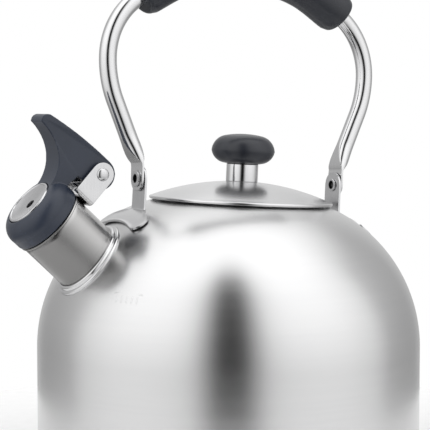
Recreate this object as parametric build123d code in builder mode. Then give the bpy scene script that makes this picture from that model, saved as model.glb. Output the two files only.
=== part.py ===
"""Stovetop whistling kettle: domed steel body, swinging bail handle, sprung whistle and lift-off lid.

Millimetres. The origin is the centre of the base on the hob, +Z is up and the spout points to -X.
"""
import os
from math import acos, asin, cos, degrees, radians, sin, sqrt

from build123d import *

os.makedirs("parts", exist_ok=True)

# ---------------------------------------------------------------- driving dimensions
SHEET = 0.8                 # steel sheet of the body, lid and spout
WELD_GAP = 0.02             # hairline left between pieces that are welded face to face
RUN_GAP = 0.05              # radial clearance of a turning fit

BODY_R = 110.0              # outer radius of the side wall
SHOULDER_Z = 66.0           # height where the wall turns into the dome
SHOULDER_R = 86.0           # radius of the dome's rounded shoulder
SHOULDER_X = BODY_R - SHOULDER_R
DOME_OPEN_R = 36.0          # the dome stops here, inside the lid hole

BASE_R = 92.0               # radius of the capsule that stands on the hob
BASE_H = 5.0                # height of the capsule
SEAM_Z = 12.0               # lower edge of the side wall
PAN_CORNER = 9.0            # bottom corner radius of the pan
PAN_TOP = 24.0              # the pan's flange ends here, inside the wall

TOP_TILT = 3.1              # the lid and the handle lean back by this angle, in degrees
LID_X, LID_Z = 8.2, 147.8   # centre of the lid's seat
LID_R = 53.0                # outer radius of the lid's rolled rim
RIM_R = 1.0                 # section radius of the rolled rim
LID_RISE = 12.2             # the lid's top above its seat
LID_DOME_R = 137.6          # radius of the lid's dome
NECK_R = 47.0               # outer radius of the neck collar
NECK_TOP, NECK_BOTTOM = 2.0, -8.0
SKIRT_R = 45.8              # outer radius of the lid's skirt
SKIRT_BOTTOM = -7.0

STEM_R = 9.2
STEM_H = 10.0
KNOB_R = 18.25
KNOB_H = 17.2
SCREW_R = 2.5

HANDLE_X, HANDLE_Z = 7.8, 159.5     # midpoint between the handle's two rivets
HANDLE_SWING = 3.5          # the handle rests swung back to +Y by this angle, in degrees
BRACKET_X = 63.8            # inner face of each bracket strip, from the midpoint
STRIP_W, STRIP_T = 15.0, 1.5
PIVOT_R = 3.0               # tubular rivet's shank
PIVOT_HOLE_R = 2.3
WASHER_T = 0.3
TUBE_R, TUBE_WALL = 4.95, 1.0
FLAT_W, FLAT_T = 14.0, 1.2  # handle's pressed ends
BEND_H = 9.0                # the pressed end bends outwards at this height above the rivet
LEG_ANGLE = 23.4            # lean of the handle's legs, in degrees
LEG_LENGTH = 36.5
HIP_R, SIDE_R = 60.0, 41.5  # arcs of the handle's sides
SIDE_ANGLE = 54.5           # turn of the side arc before the top arc
GRIP_HALF = 35.0            # the grip covers this angle each side of the top arc
GRIP_R = 11.0
GRIP_END_R = 12.6

SPOUT_X, SPOUT_Z = -112.5, 141.6    # centre of the spout's mouth
SPOUT_ANGLE = 43.0          # the spout's rise, in degrees
SPOUT_R = 19.8
SPOUT_REACH = 44.0          # length that is trimmed at the dome
SPOUT_HOLE_R = 17.5
MOUTH_BEAD = 0.7

PIN_R = 2.0                 # whistle hinge pin
PIN_S, PIN_H = -3.1, 36.8   # its place along and above the spout's axis, from the mouth
EAR_W, EAR_T = 13.0, 1.0
EAR_Y = 12.0                # outer face of each ear
LEVER_HALF_W = 9.0
KNUCKLE_R = 8.7
COIL_R, WIRE_R = 3.4, 0.55  # torsion spring
COIL_TURNS = 6

CAP_R = 20.9                # outer radius of the ring over the mouth
CAP_BACK, CAP_FRONT = 0.42, 15.3
FACE_R = 13.0               # outer whistle disc
CUP_R = 11.4
BLOW_R = 2.75               # whistle hole

# ---------------------------------------------------------------- shared frames
tilt = radians(TOP_TILT)
rise = radians(SPOUT_ANGLE)
TILT_X = (cos(tilt), 0, -sin(tilt))
TILT_Z = (sin(tilt), 0, cos(tilt))
LID = Plane(origin=(LID_X, 0, LID_Z), x_dir=TILT_X, z_dir=TILT_Z)
swing = radians(HANDLE_SWING)
SWING_Z = (sin(tilt) * cos(swing), sin(swing), cos(tilt) * cos(swing))
# Both frames have the line through the rivets as x: HANDLE is upright, SWUNG lies in the handle.
HANDLE = Plane(origin=(HANDLE_X, 0, HANDLE_Z), x_dir=TILT_X, z_dir=TILT_Z)
SWUNG = Plane(origin=HANDLE.origin, x_dir=TILT_X, z_dir=SWING_Z)
SPOUT_OUT = (-cos(rise), 0, sin(rise))
SPOUT_UP = (sin(rise), 0, cos(rise))
# In MOUTH, x is up across the spout, y is across the kettle and z runs out along the spout.
MOUTH = Plane(origin=(SPOUT_X, 0, SPOUT_Z), x_dir=SPOUT_UP, z_dir=SPOUT_OUT)
# In SIDE, x runs out along the spout and y is up across it. The plane is the kettle's middle plane.
SIDE = Plane(origin=(SPOUT_X, 0, SPOUT_Z), x_dir=SPOUT_OUT, z_dir=(0, 1, 0))
SPOUT_AXIS = Axis((SPOUT_X, 0, SPOUT_Z), SPOUT_OUT)
LID_AXIS = Axis((LID_X, 0, LID_Z), TILT_Z)


def upright(plane):
    """Section plane through a tilted frame's axis: x outwards, y along the axis."""
    return Plane(origin=plane.origin, x_dir=plane.x_dir, z_dir=-plane.y_dir)


LID_SECTION = upright(LID)
HANDLE_SECTION = upright(HANDLE)
SWUNG_SECTION = upright(SWUNG)


def dome_blank(growth):
    """Solid inside the kettle's outer skin, grown outwards by growth."""
    with BuildPart() as blank:
        with BuildSketch(Plane.XZ):
            with BuildLine():
                Line((0, 0), (BODY_R + growth, 0))
                Line((BODY_R + growth, 0), (BODY_R + growth, SHOULDER_Z))
                CenterArc((SHOULDER_X, SHOULDER_Z), SHOULDER_R + growth, 0, 90)
                Line((SHOULDER_X, SHOULDER_Z + SHOULDER_R + growth), (0, SHOULDER_Z + SHOULDER_R + growth))
                Line((0, SHOULDER_Z + SHOULDER_R + growth), (0, 0))
            make_face()
        revolve(axis=Axis.Z)
    return blank.part


def rod(start, end, radius):
    """Straight round wire between two points."""
    run = end - start
    with BuildPart() as wire:
        with BuildSketch(Plane(origin=start, z_dir=run)):
            Circle(radius)
        extrude(amount=run.length)
    return wire.part


def dome_saddle(outline_plane, radius, height):
    """Disc of the given radius, seen along outline_plane, that lies height thick on the dome."""
    skin = dome_blank(height)
    with BuildPart() as saddle:
        with BuildSketch(outline_plane):
            Circle(radius)
        extrude(amount=SPOUT_REACH)
        add(skin, mode=Mode.INTERSECT)
    return saddle.part


dome = dome_blank(WELD_GAP)

# ---------------------------------------------------------------- kettle body
open_angle = degrees(acos((DOME_OPEN_R - SHOULDER_X) / SHOULDER_R))
with BuildPart() as body_shell:
    with BuildSketch(Plane.XZ):
        with BuildLine():
            wall = Line((BODY_R, SEAM_Z), (BODY_R, SHOULDER_Z))
            outer = CenterArc((SHOULDER_X, SHOULDER_Z), SHOULDER_R, 0, open_angle)
            inner = CenterArc((SHOULDER_X, SHOULDER_Z), SHOULDER_R - SHEET, 0, open_angle)
            Line(outer @ 1, inner @ 1)
            Line(inner @ 0, (BODY_R - SHEET, SEAM_Z))
            Line((BODY_R - SHEET, SEAM_Z), wall @ 0)
        make_face()
    revolve(axis=Axis.Z)
    with BuildSketch(LID.offset(-20)):
        Circle(NECK_R + WELD_GAP)
    extrude(amount=40, mode=Mode.SUBTRACT)
    with BuildSketch(MOUTH.offset(-SPOUT_REACH)):
        Circle(SPOUT_HOLE_R)
    extrude(amount=SPOUT_REACH, mode=Mode.SUBTRACT)
body_shell.part.label = "body_shell"
export_step(body_shell.part, "parts/body_shell.step")

with BuildPart() as neck_ring:
    with BuildSketch(LID.offset(NECK_BOTTOM)):
        Circle(NECK_R)
        Circle(NECK_R - SHEET, mode=Mode.SUBTRACT)
    extrude(amount=NECK_TOP - NECK_BOTTOM)
neck_ring.part.label = "neck_ring"
export_step(neck_ring.part, "parts/neck_ring.step")

pan_r = BODY_R - SHEET - WELD_GAP
with BuildPart() as base_pan:
    with BuildSketch(Plane.XZ):
        with BuildLine():
            Line((0, BASE_H), (pan_r - PAN_CORNER, BASE_H))
            CenterArc((pan_r - PAN_CORNER, BASE_H + PAN_CORNER), PAN_CORNER, -90, 90)
            Line((pan_r, BASE_H + PAN_CORNER), (pan_r, PAN_TOP))
            Line((pan_r, PAN_TOP), (pan_r - SHEET, PAN_TOP))
            Line((pan_r - SHEET, PAN_TOP), (pan_r - SHEET, BASE_H + PAN_CORNER))
            CenterArc((pan_r - PAN_CORNER, BASE_H + PAN_CORNER), PAN_CORNER - SHEET, 0, -90)
            Line((pan_r - PAN_CORNER, BASE_H + SHEET), (0, BASE_H + SHEET))
            Line((0, BASE_H + SHEET), (0, BASE_H))
        make_face()
    revolve(axis=Axis.Z)
base_pan.part.label = "base_pan"
export_step(base_pan.part, "parts/base_pan.step")

with BuildPart() as base_core:
    with BuildSketch(Plane.XY.offset(SHEET + WELD_GAP)):
        Circle(BASE_R - SHEET - WELD_GAP)
    extrude(amount=BASE_H - SHEET - 2 * WELD_GAP)
base_core.part.label = "base_core"
export_step(base_core.part, "parts/base_core.step")

with BuildPart() as base_cap:
    with BuildSketch(Plane.XY):
        Circle(BASE_R)
    extrude(amount=BASE_H - WELD_GAP)
    fillet(base_cap.faces().sort_by(Axis.Z)[0].edges(), 1.2)
    with BuildSketch(Plane.XY.offset(SHEET)):
        Circle(BASE_R - SHEET)
    extrude(amount=BASE_H, mode=Mode.SUBTRACT)
base_cap.part.label = "base_cap"
export_step(base_cap.part, "parts/base_cap.step")

# ---------------------------------------------------------------- spout
with BuildPart() as spout_tube:
    with BuildSketch(MOUTH.offset(-SPOUT_REACH)):
        Circle(SPOUT_R)
    extrude(amount=SPOUT_REACH)
    with BuildSketch(SIDE):
        with Locations((-MOUTH_BEAD, SPOUT_R)):
            Circle(MOUTH_BEAD)
    revolve(axis=SPOUT_AXIS)
    with BuildSketch(MOUTH.offset(-SPOUT_REACH - 1)):
        Circle(SPOUT_R - SHEET)
    extrude(amount=SPOUT_REACH + 2, mode=Mode.SUBTRACT)
    add(dome, mode=Mode.SUBTRACT)
spout_tube.part.label = "spout_tube"
export_step(spout_tube.part, "parts/spout_tube.step")

RING_STEPS = ((21.7, 3.0), (23.4, 1.5))     # outer radius and height of each step of the foot ring
ring_steps = [dome_saddle(MOUTH.offset(-SPOUT_REACH), radius, height) for radius, height in RING_STEPS]
with BuildPart() as spout_foot_ring:
    add(ring_steps)
    with BuildSketch(MOUTH.offset(-SPOUT_REACH - 1)):
        Circle(SPOUT_R + WELD_GAP)
    extrude(amount=SPOUT_REACH + 2, mode=Mode.SUBTRACT)
    add(dome, mode=Mode.SUBTRACT)
spout_foot_ring.part.label = "spout_foot_ring"
export_step(spout_foot_ring.part, "parts/spout_foot_ring.step")

channel_h = SPOUT_R + WELD_GAP              # underside of the hinge channel
channel_mouth = -MOUTH_BEAD * 2 - 0.4       # the channel's floor stops short of the mouth bead
ear_back = PIN_S - EAR_W / 2
ear_top = PIN_H + EAR_W / 2
with BuildPart() as hinge_bracket:
    with BuildSketch(MOUTH.offset(ear_back)):
        with Locations(((channel_h + ear_top) / 2, 0)):
            Rectangle(ear_top - channel_h, 2 * EAR_Y)
    extrude(amount=EAR_W)
    floor_edges = hinge_bracket.edges().filter_by(SPOUT_AXIS).group_by(Axis((0, 0, 0), SPOUT_UP))[0]
    fillet(floor_edges, 2.2)
    with BuildSketch(MOUTH.offset(ear_back)):
        with Locations(((channel_h + EAR_T + ear_top + 1) / 2, 0)):
            RectangleRounded(ear_top + 1 - channel_h - EAR_T, 2 * (EAR_Y - EAR_T), 1.2)
    extrude(amount=EAR_W, mode=Mode.SUBTRACT)
    with BuildSketch(SIDE):
        with Locations((PIN_S, (channel_h + PIN_H) / 2)):
            Rectangle(EAR_W, PIN_H - channel_h)
        with Locations((PIN_S, PIN_H)):
            Circle(EAR_W / 2)
    extrude(amount=EAR_Y, both=True, mode=Mode.INTERSECT)
    with BuildSketch(MOUTH.offset(channel_mouth)):
        Rectangle(2 * (channel_h + EAR_T + 0.5), 2 * (EAR_Y - 2.2))
    extrude(amount=EAR_W, mode=Mode.SUBTRACT)
    with BuildSketch(SIDE):
        with Locations((PIN_S, PIN_H)):
            Circle(PIN_R + WELD_GAP)
    extrude(amount=EAR_Y + 1, both=True, mode=Mode.SUBTRACT)
hinge_bracket.part.label = "hinge_bracket"
export_step(hinge_bracket.part, "parts/hinge_bracket.step")

HEAD_R, HEAD_H = 3.6, 1.7                   # domed heads of the hinge rivet
head_sphere = (HEAD_R**2 + HEAD_H**2) / (2 * HEAD_H)
head_mid = asin(HEAD_R / head_sphere) / 2
mid_r = head_sphere * sin(head_mid)
mid_y = EAR_Y + HEAD_H - head_sphere * (1 - cos(head_mid))
pin_axis = Axis(SIDE.from_local_coords(Vector(PIN_S, PIN_H, 0)), (0, 1, 0))
PIN_SECTION = Plane(origin=pin_axis.position, x_dir=SPOUT_UP, z_dir=SPOUT_OUT)
with BuildPart() as hinge_rivet:
    with BuildSketch(PIN_SECTION):
        with BuildLine():
            Line((0, -EAR_Y - HEAD_H), (0, EAR_Y + HEAD_H))
            ThreePointArc((0, EAR_Y + HEAD_H), (mid_r, mid_y), (HEAD_R, EAR_Y))
            Line((HEAD_R, EAR_Y), (PIN_R, EAR_Y))
            Line((PIN_R, EAR_Y), (PIN_R, -EAR_Y))
            Line((PIN_R, -EAR_Y), (HEAD_R, -EAR_Y))
            ThreePointArc((HEAD_R, -EAR_Y), (mid_r, -mid_y), (0, -EAR_Y - HEAD_H))
        make_face()
    revolve(axis=pin_axis)
hinge_rivet.part.label = "hinge_rivet"
export_step(hinge_rivet.part, "parts/hinge_rivet.step")

coil_pitch = 2 * WIRE_R + WELD_GAP
coil_y = [coil_pitch * (turn - (COIL_TURNS - 1) / 2) for turn in range(COIL_TURNS)]
FIXED_LEG_END = channel_h + EAR_T + 0.1     # the still leg stands on the channel's floor
LEVER_LEG_END = Vector(5.4, 23.5)           # the moving leg presses on the lever here
to_lever = LEVER_LEG_END - Vector(PIN_S, PIN_H)
leg_turn = radians(Vector(1, 0).get_signed_angle(to_lever)) - acos(COIL_R / to_lever.length)
leg_start = Vector(PIN_S + COIL_R * cos(leg_turn), PIN_H + COIL_R * sin(leg_turn))
still_leg = rod(
    SIDE.from_local_coords(Vector(PIN_S - COIL_R, PIN_H, coil_y[0])),
    SIDE.from_local_coords(Vector(PIN_S - COIL_R, FIXED_LEG_END, coil_y[0])),
    WIRE_R,
)
moving_leg = rod(
    SIDE.from_local_coords(Vector(leg_start.X, leg_start.Y, coil_y[-1])),
    SIDE.from_local_coords(Vector(LEVER_LEG_END.X, LEVER_LEG_END.Y, coil_y[-1])),
    WIRE_R,
)
with BuildPart() as torsion_spring:
    with BuildSketch(PIN_SECTION):
        with Locations([(COIL_R, y) for y in coil_y]):
            Circle(WIRE_R)
    revolve(axis=pin_axis)
    add([still_leg, moving_leg])
torsion_spring.part.label = "torsion_spring"
export_step(torsion_spring.part, "parts/torsion_spring.step")

# ---------------------------------------------------------------- whistle
TIP_HALF_W = 7.5                            # half width of the lever's blunt tip
TAPER_S = 24.7                              # the lever narrows from here to its tip
NOTCH_S = 6.2                               # face of the lever's neck in front of the spring
SLOT_R, SLOT_HALF_W = 4.6, 4.3              # pocket round the spring's coil
with BuildPart() as whistle_lever:
    with BuildSketch(SIDE):
        with BuildLine():
            Line((9.0, 13.0), (7.4, 19.5))
            Line((7.4, 19.5), (NOTCH_S, 27.2))
            Line((NOTCH_S, 27.2), (PIN_S, PIN_H - KNUCKLE_R))
            knuckle = ThreePointArc(
                (PIN_S, PIN_H - KNUCKLE_R), (PIN_S - KNUCKLE_R, PIN_H), (PIN_S, PIN_H + KNUCKLE_R)
            )
            back = ThreePointArc(knuckle @ 1, (18.5, 44.4), (38.6, 41.6))
            tip = ThreePointArc(back @ 1, (42.0, 39.2), (41.3, 35.0))
            brow = ThreePointArc(tip @ 1, (36.5, 34.6), (31.0, 33.2))
            front = ThreePointArc(brow @ 1, (20.6, 26.4), (15.0, 13.0))
            Line(front @ 1, (9.0, 13.0))
        make_face()
    extrude(amount=LEVER_HALF_W, both=True)
    with BuildSketch(Plane(origin=SIDE.origin, x_dir=SPOUT_OUT, z_dir=SPOUT_UP)):
        with BuildLine():
            Polyline(
                (-20, -LEVER_HALF_W), (TAPER_S, -LEVER_HALF_W), (42.5, -TIP_HALF_W),
                (42.5, TIP_HALF_W), (TAPER_S, LEVER_HALF_W), (-20, LEVER_HALF_W), close=True,
            )
        make_face()
    extrude(amount=50, mode=Mode.INTERSECT)
    with BuildSketch(SIDE):
        with BuildLine():
            Line((CAP_BACK, 0), (CAP_BACK, CAP_R - 1))
            ThreePointArc((CAP_BACK, CAP_R - 1), (CAP_BACK + 0.3, CAP_R - 0.3), (CAP_BACK + 1, CAP_R))
            Line((CAP_BACK + 1, CAP_R), (5.5, CAP_R))
            ThreePointArc((5.5, CAP_R), (12.6, 18.9), (CAP_FRONT, FACE_R + 1.6))
            Line((CAP_FRONT, FACE_R + 1.6), (CAP_FRONT, 0))
            Line((CAP_FRONT, 0), (CAP_BACK, 0))
        make_face()
    revolve(axis=SPOUT_AXIS)
    with BuildSketch(MOUTH.offset(CAP_FRONT - 1.9)):
        Circle(FACE_R + 0.3)
    extrude(amount=5, mode=Mode.SUBTRACT)
    with BuildSketch(MOUTH):
        Circle(CUP_R + WELD_GAP)
    extrude(amount=CAP_FRONT, mode=Mode.SUBTRACT)
    with BuildSketch(SIDE):
        with Locations((PIN_S, PIN_H)):
            Circle(PIN_R + RUN_GAP)
    extrude(amount=EAR_Y, both=True, mode=Mode.SUBTRACT)
    with BuildSketch(SIDE):
        with Locations((PIN_S, PIN_H)):
            Circle(SLOT_R)
        with BuildLine():
            Polyline(
                (PIN_S - SLOT_R, PIN_H), (PIN_S - SLOT_R, CAP_R), (NOTCH_S, CAP_R + 0.5),
                (NOTCH_S, 27.0), (PIN_S + SLOT_R, PIN_H), close=True,
            )
        make_face()
    extrude(amount=SLOT_HALF_W, both=True, mode=Mode.SUBTRACT)
whistle_lever.part.label = "whistle_lever"
export_step(whistle_lever.part, "parts/whistle_lever.step")

with BuildPart() as whistle_face:
    with BuildSketch(SIDE):
        with BuildLine():
            Polyline(
                (CAP_FRONT - 0.1, BLOW_R), (CAP_FRONT + 0.5, BLOW_R), (CAP_FRONT - 0.5, 10.8),
                (CAP_FRONT + 0.2, 11.4), (CAP_FRONT + 0.2, 12.6), (CAP_FRONT - 0.3, FACE_R),
                (CAP_FRONT - 1.85, FACE_R), (CAP_FRONT - 1.85, CUP_R), (CAP_FRONT - 1.1, 10.4), close=True,
            )
        make_face()
    revolve(axis=SPOUT_AXIS)
whistle_face.part.label = "whistle_face"
export_step(whistle_face.part, "parts/whistle_face.step")

CUP_WALL = 0.6
CUP_REACH = 3.0                             # the liner dips this far into the spout
FLANGE_R = 17.5
DISC_S = 8.0                                # place of the inner disc
with BuildPart() as whistle_cup:
    with BuildSketch(SIDE):
        with BuildLine():
            Polyline(
                (-CUP_REACH, CUP_R - CUP_WALL), (-CUP_REACH, CUP_R), (-0.3, CUP_R), (-0.3, FLANGE_R),
                (CAP_BACK - WELD_GAP, FLANGE_R), (CAP_BACK - WELD_GAP, CUP_R),
                (CAP_FRONT - 1.9, CUP_R), (CAP_FRONT - 1.9, CUP_R - CUP_WALL), close=True,
            )
        make_face()
    revolve(axis=SPOUT_AXIS)
whistle_cup.part.label = "whistle_cup"
export_step(whistle_cup.part, "parts/whistle_cup.step")

with BuildPart() as whistle_inner_disc:
    with BuildSketch(MOUTH.offset(DISC_S)):
        Circle(CUP_R - CUP_WALL - WELD_GAP)
        Circle(BLOW_R, mode=Mode.SUBTRACT)
    extrude(amount=CUP_WALL)
whistle_inner_disc.part.label = "whistle_inner_disc"
export_step(whistle_inner_disc.part, "parts/whistle_inner_disc.step")

# ---------------------------------------------------------------- handle
def across(frame, side, reach):
    """Plane across a frame's x, reach out from its middle: x across, y up, z outwards."""
    origin = frame.from_local_coords(Vector(side * reach, 0, 0))
    return Plane(origin=origin, x_dir=frame.y_dir * side, z_dir=frame.x_dir * side)


LOBE_REACH, LOBE_HALF, LOBE_R = 11.0, 18.5, 5.2     # rounded wings of a bracket's foot
FOOT_T = 1.2
foot_skin = dome_blank(FOOT_T)
STRIP_DROP = 24.0
washer_x = BRACKET_X + STRIP_T + WELD_GAP
end_x = washer_x + WASHER_T + 0.05          # inner face of the handle's pressed end
flange_x = end_x + FLAT_T + 0.1             # inner face of the rivet's flange


def bracket(side):
    """Handle strip with a winged foot; side is -1 at the spout and 1 at the back."""
    foot_x = HANDLE_X + side * BRACKET_X
    with BuildPart() as foot:
        with BuildSketch(Plane.XY.offset(SHOULDER_Z)):
            with Locations((foot_x + side * STRIP_T / 2, 0)):
                Rectangle(STRIP_T, STRIP_W)
            with Locations([(foot_x + side * LOBE_REACH, y) for y in (-LOBE_HALF, LOBE_HALF)]):
                Circle(LOBE_R)
            make_hull()
        extrude(amount=2 * SHOULDER_R)
        add(foot_skin, mode=Mode.INTERSECT)
    with BuildPart() as strip:
        with BuildSketch(across(HANDLE, side, BRACKET_X)):
            Circle(STRIP_W / 2)
            with Locations((0, -STRIP_DROP / 2)):
                Rectangle(STRIP_W, STRIP_DROP)
        extrude(amount=STRIP_T)
        add(foot.part)
        add(dome, mode=Mode.SUBTRACT)
        with BuildSketch(across(HANDLE, side, BRACKET_X - 1)):
            Circle(PIVOT_R + WELD_GAP)
        extrude(amount=STRIP_T + 2, mode=Mode.SUBTRACT)
    return strip.part


def tubular_rivet(side):
    """Hollow rivet through a strip, the washer and the handle's end."""
    roll_x = BRACKET_X - 0.9
    with BuildPart() as rivet:
        with BuildSketch(HANDLE_SECTION):
            with BuildLine():
                Polyline(
                    (side * roll_x, PIVOT_HOLE_R), (side * roll_x, 3.75),
                    (side * (BRACKET_X - WELD_GAP), 3.75), (side * (BRACKET_X - WELD_GAP), PIVOT_R),
                    (side * flange_x, PIVOT_R), (side * flange_x, 4.75),
                    (side * (flange_x + 1), 4.75), (side * (flange_x + 1), PIVOT_HOLE_R), close=True,
                )
            make_face()
        revolve(axis=Axis(HANDLE.origin, HANDLE.x_dir))
        rim = rivet.edges().filter_by(GeomType.CIRCLE).group_by(Axis(HANDLE.origin, HANDLE.x_dir * side))
        fillet(rim[0], 0.3)
        fillet(rim[-1], 0.35)
    return rivet.part


def pivot_washer(side):
    """Thin washer that keeps the handle's end off the strip."""
    with BuildPart() as washer:
        with BuildSketch(across(HANDLE, side, washer_x)):
            Circle(6.2)
            Circle(PIVOT_R + WELD_GAP, mode=Mode.SUBTRACT)
        extrude(amount=WASHER_T)
    return washer.part


for side, place in ((-1, "front"), (1, "rear")):
    strip = bracket(side)
    strip.label = f"{place}_bracket"
    export_step(strip, f"parts/{place}_bracket.step")
    rivet = tubular_rivet(side)
    rivet.label = f"{place}_rivet"
    export_step(rivet, f"parts/{place}_rivet.step")
    washer = pivot_washer(side)
    washer.label = f"{place}_washer"
    export_step(washer, f"parts/{place}_washer.step")

lean = radians(LEG_ANGLE)
leg_x = end_x + FLAT_T / 2
leg_dir = Vector(sin(lean), cos(lean))
PRESS_RUN = 18.0                            # length over which the tube turns into the pressed end
tube_start = Vector(leg_x, BEND_H) + leg_dir * PRESS_RUN
hip_start = Vector(leg_x, BEND_H) + leg_dir * LEG_LENGTH
with BuildLine() as bail:
    Line(tube_start, hip_start)
    rear_hip = JernArc(hip_start, leg_dir, HIP_R, LEG_ANGLE)
    rear_side = JernArc(rear_hip @ 1, rear_hip % 1, SIDE_R, SIDE_ANGLE)
    top_r = (rear_side @ 1).X / cos(radians(SIDE_ANGLE))
    top = JernArc(rear_side @ 1, rear_side % 1, top_r, 180 - 2 * SIDE_ANGLE)
    front_side = JernArc(top @ 1, top % 1, SIDE_R, SIDE_ANGLE)
    front_hip = JernArc(front_side @ 1, front_side % 1, HIP_R, LEG_ANGLE)
    Line(front_hip @ 1, (-tube_start.X, tube_start.Y))
bail_path = bail.line.moved(SWUNG_SECTION.location)
top_centre = Vector(0, (rear_side @ 1).Y - top_r * sin(radians(SIDE_ANGLE)))


def pressed_end(side):
    """Flattened end of the handle tube, up to where the tube is round again."""
    with BuildPart() as end:
        with BuildSketch(across(SWUNG, side, end_x)):
            Circle(FLAT_W / 2)
            with Locations((0, BEND_H / 2)):
                Rectangle(FLAT_W, BEND_H)
        extrude(amount=FLAT_T)
        run = SWUNG.x_dir * side * leg_dir.X + SWUNG.z_dir * leg_dir.Y
        bend = SWUNG.from_local_coords(Vector(side * leg_x, 0, BEND_H))
        with BuildSketch(Plane(origin=bend, x_dir=SWUNG.y_dir, z_dir=run)):
            RectangleRounded(FLAT_W, FLAT_T, 0.5)
        with BuildSketch(Plane(origin=bend + run * PRESS_RUN, x_dir=SWUNG.y_dir, z_dir=run)):
            Circle(TUBE_R)
        loft()
        with BuildSketch(across(SWUNG, side, end_x - 1)):
            Circle(PIVOT_R + RUN_GAP)
        extrude(amount=FLAT_T + 2, mode=Mode.SUBTRACT)
    return end.part


pressed_ends = [pressed_end(side) for side in (-1, 1)]
with BuildPart() as handle_tube:
    with BuildSketch(Plane(origin=bail_path @ 0, x_dir=SWUNG.y_dir, z_dir=bail_path % 0)):
        Circle(TUBE_R)
        Circle(TUBE_R - TUBE_WALL, mode=Mode.SUBTRACT)
    sweep(path=bail_path)
    add(pressed_ends)
handle_tube.part.label = "handle_tube"
export_step(handle_tube.part, "parts/handle_tube.step")


def grip_plane(angle):
    """Plane across the grip, at an angle from the top of the handle."""
    turn = radians(angle)
    spot = top_centre + Vector(sin(turn), cos(turn)) * top_r
    run = SWUNG.x_dir * cos(turn) - SWUNG.z_dir * sin(turn)
    return Plane(origin=SWUNG.from_local_coords(Vector(spot.X, 0, spot.Y)), x_dir=SWUNG.y_dir, z_dir=run)


SWELL_HALF = GRIP_HALF - 4.0                # the grip is fullest here, near each end
GRIP_RIBS = (
    (-GRIP_HALF, GRIP_END_R - 1.0), (-SWELL_HALF, GRIP_END_R), (-18.0, GRIP_R + 0.3), (0.0, GRIP_R),
    (18.0, GRIP_R + 0.3), (SWELL_HALF, GRIP_END_R), (GRIP_HALF, GRIP_END_R - 1.0),
)
with BuildPart() as handle_grip:
    for rib_angle, rib_r in GRIP_RIBS:
        with BuildSketch(grip_plane(rib_angle)):
            Circle(rib_r)
    loft()
    fillet(handle_grip.faces().filter_by(GeomType.PLANE).edges(), 3.0)
    with BuildSketch(Plane(origin=bail_path @ 0, x_dir=SWUNG.y_dir, z_dir=bail_path % 0)):
        Circle(TUBE_R + WELD_GAP)
    sweep(path=bail_path, mode=Mode.SUBTRACT)
handle_grip.part.label = "handle_grip"
export_step(handle_grip.part, "parts/handle_grip.step")

# ---------------------------------------------------------------- lid
dome_centre_z = LID_RISE - LID_DOME_R
rim_x = LID_R - RIM_R


def lid_height(x, depth=0.0):
    """Height of the lid's dome at radius x, depth below its outer face."""
    return dome_centre_z + sqrt((LID_DOME_R - depth) ** 2 - x**2)


with BuildPart() as lid_plate:
    with BuildSketch(LID_SECTION):
        with BuildLine():
            hole_x = SCREW_R + WELD_GAP
            top_arc = ThreePointArc(
                (hole_x, lid_height(hole_x)), (rim_x / 2, lid_height(rim_x / 2)), (rim_x, lid_height(rim_x))
            )
            low_arc = ThreePointArc(
                (rim_x, lid_height(rim_x, SHEET)), (rim_x / 2, lid_height(rim_x / 2, SHEET)),
                (hole_x, lid_height(hole_x, SHEET)),
            )
            Line(top_arc @ 1, low_arc @ 0)
            Line(low_arc @ 1, top_arc @ 0)
        make_face()
        with Locations((rim_x, RIM_R)):
            Circle(RIM_R)
    revolve(axis=LID_AXIS)
lid_plate.part.label = "lid_plate"
export_step(lid_plate.part, "parts/lid_plate.step")

CURL_R = 41.0                               # the skirt's lower edge is turned in to this radius
skirt_top = lid_height(SKIRT_R, SHEET) - WELD_GAP
with BuildPart() as lid_skirt:
    with BuildSketch(LID_SECTION):
        with BuildLine():
            Polyline(
                (SKIRT_R, skirt_top), (SKIRT_R, SKIRT_BOTTOM), (CURL_R, SKIRT_BOTTOM),
                (CURL_R, SKIRT_BOTTOM + SHEET), (SKIRT_R - SHEET, SKIRT_BOTTOM + SHEET),
                (SKIRT_R - SHEET, skirt_top), close=True,
            )
        make_face()
    revolve(axis=LID_AXIS)
lid_skirt.part.label = "lid_skirt"
export_step(lid_skirt.part, "parts/lid_skirt.step")

stem_top = LID_RISE + STEM_H
with BuildPart() as knob_stem:
    with BuildSketch(LID_SECTION):
        with BuildLine():
            foot = ThreePointArc(
                (SCREW_R + WELD_GAP, lid_height(SCREW_R) + WELD_GAP),
                (STEM_R / 2, lid_height(STEM_R / 2) + WELD_GAP),
                (STEM_R, lid_height(STEM_R) + WELD_GAP),
            )
            Polyline(foot @ 1, (STEM_R, stem_top), (SCREW_R + WELD_GAP, stem_top), foot @ 0)
        make_face()
    revolve(axis=LID_AXIS)
knob_stem.part.label = "knob_stem"
export_step(knob_stem.part, "parts/knob_stem.step")

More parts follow.
